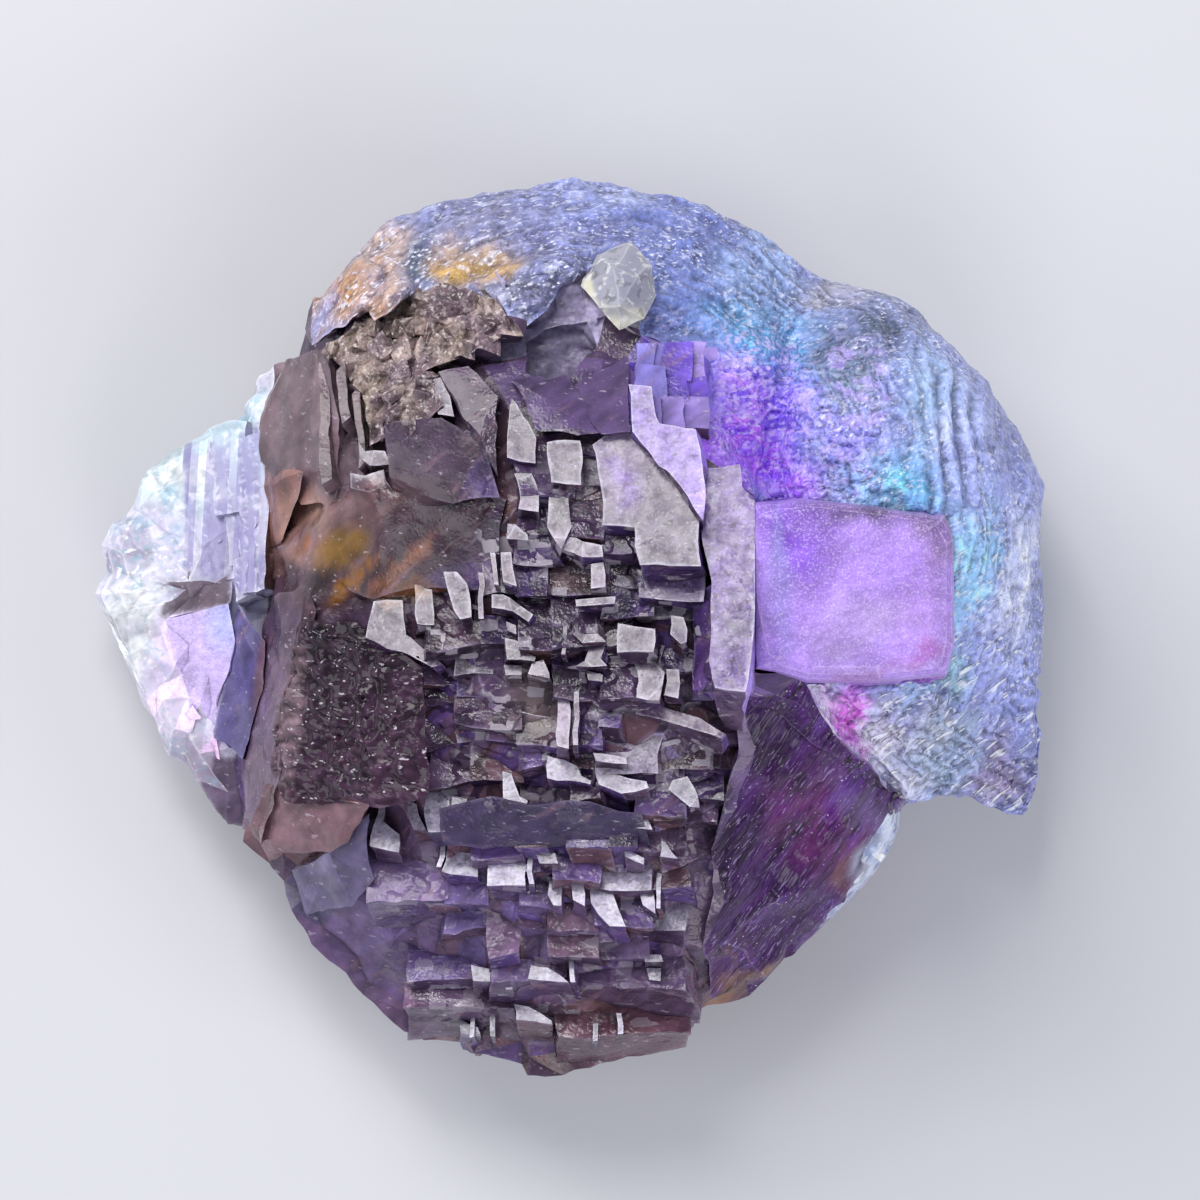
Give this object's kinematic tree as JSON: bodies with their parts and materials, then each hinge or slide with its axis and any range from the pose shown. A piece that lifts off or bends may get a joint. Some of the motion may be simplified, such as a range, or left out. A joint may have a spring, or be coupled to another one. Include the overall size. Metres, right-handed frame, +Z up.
{
  "type": "fluorite specimen",
  "caption": "Natural purple fluorite: intergrown stepped cubic crystals with one frosted cube, a hand specimen that lies on its flat broken back.",
  "frame": {"origin": "middle of the bounding box in X and Y, at the surface that the specimen rests on", "axes": "+X along the longest side, towards the frosted cube; +Y towards the domed crystal; +Z up, out of the side that the crystals face"},
  "size_m": [0.0702, 0.0662, 0.0373],
  "materials": {
    "fluorite": "translucent purple crystal: polished growth steps, etched grainy skin on the domed crystals, one frosted cube"
  },
  "bodies": {
    "root": {"fluorite_cluster": "fluorite"}
  },
  "joints": []
}
